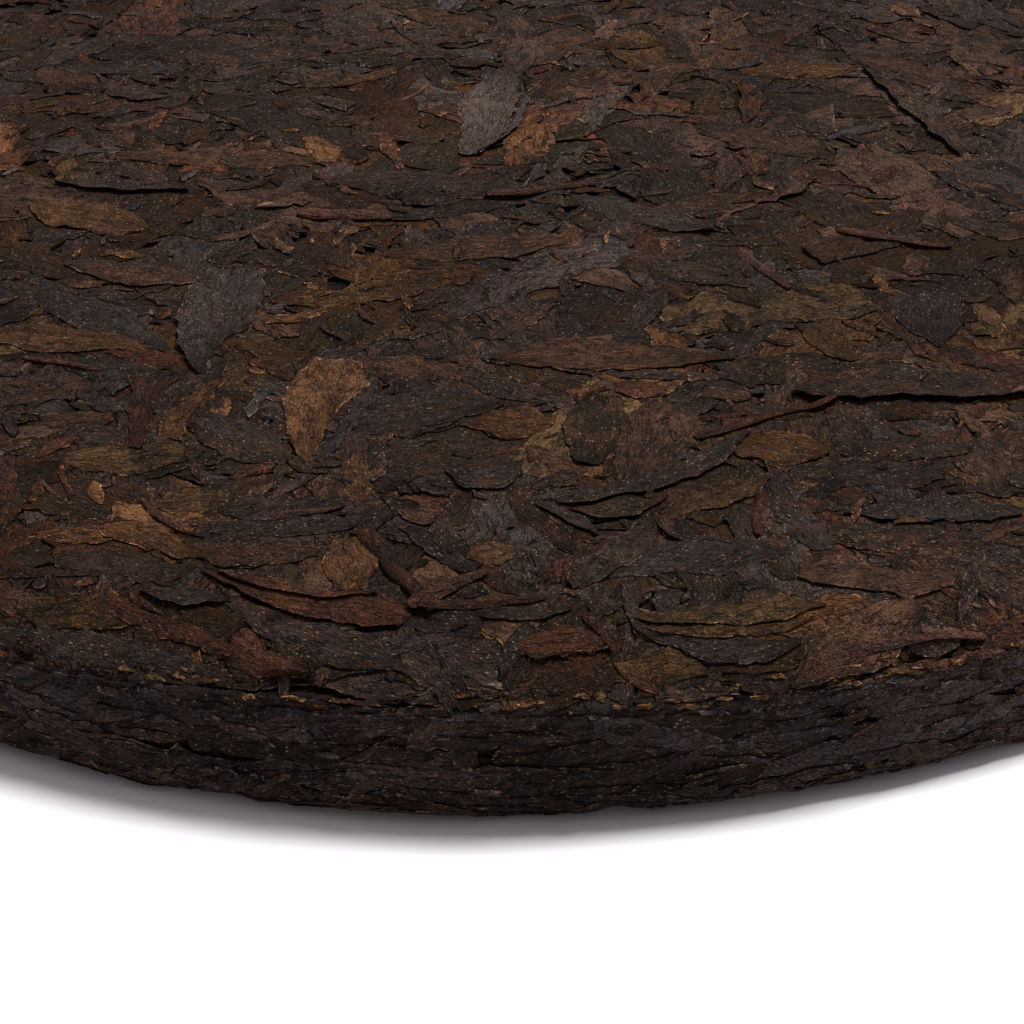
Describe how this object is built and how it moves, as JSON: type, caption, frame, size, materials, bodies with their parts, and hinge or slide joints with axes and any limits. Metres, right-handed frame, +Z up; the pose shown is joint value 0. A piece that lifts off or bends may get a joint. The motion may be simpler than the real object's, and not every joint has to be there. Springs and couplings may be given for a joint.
{
  "type": "oolong tea cake",
  "caption": "Round pressed cake of dark oolong tea leaves with a low crown, a rounded shoulder and an upright layered rim; broken up to brew.",
  "frame": {"origin": "centre of the flat underside, which the cake rests on", "axes": "+Z up through the middle of the top face; -Y is the front, the side seen nearest in the picture"},
  "size_m": [0.201, 0.2008, 0.0213],
  "materials": {
    "tea_leaf": "dry pressed leaf, dark brown to black with tan and russet leaves, faintly glossy"
  },
  "bodies": {
    "root": {"tea_cake": "tea_leaf"}
  },
  "joints": []
}
